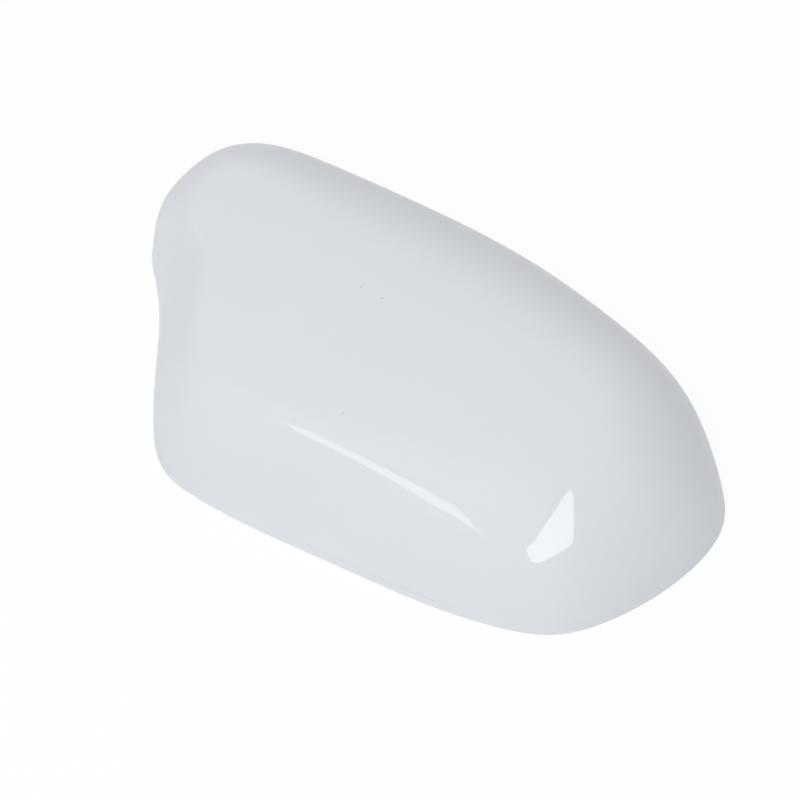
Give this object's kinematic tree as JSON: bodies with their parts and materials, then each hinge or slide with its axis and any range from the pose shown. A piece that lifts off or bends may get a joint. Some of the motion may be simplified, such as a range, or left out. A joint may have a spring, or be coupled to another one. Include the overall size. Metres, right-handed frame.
{
  "type": "wing mirror cover",
  "caption": "Gloss white moulded cover that snaps over the back of a car's wing mirror housing, with a rolled upper edge, a creased lower wall and a waisted inboard end.",
  "frame": {"origin": "centre of the cover's outline on the rim plane", "axes": "+X outboard along the cover's length, +Y towards the upper edge, +Z from the open rim out to the face"},
  "size_m": [0.248, 0.141, 0.06],
  "materials": {
    "painted_shell": "gloss white paint over a moulded shell"
  },
  "bodies": {
    "root": {"mirror_cover": "painted_shell"}
  },
  "joints": []
}
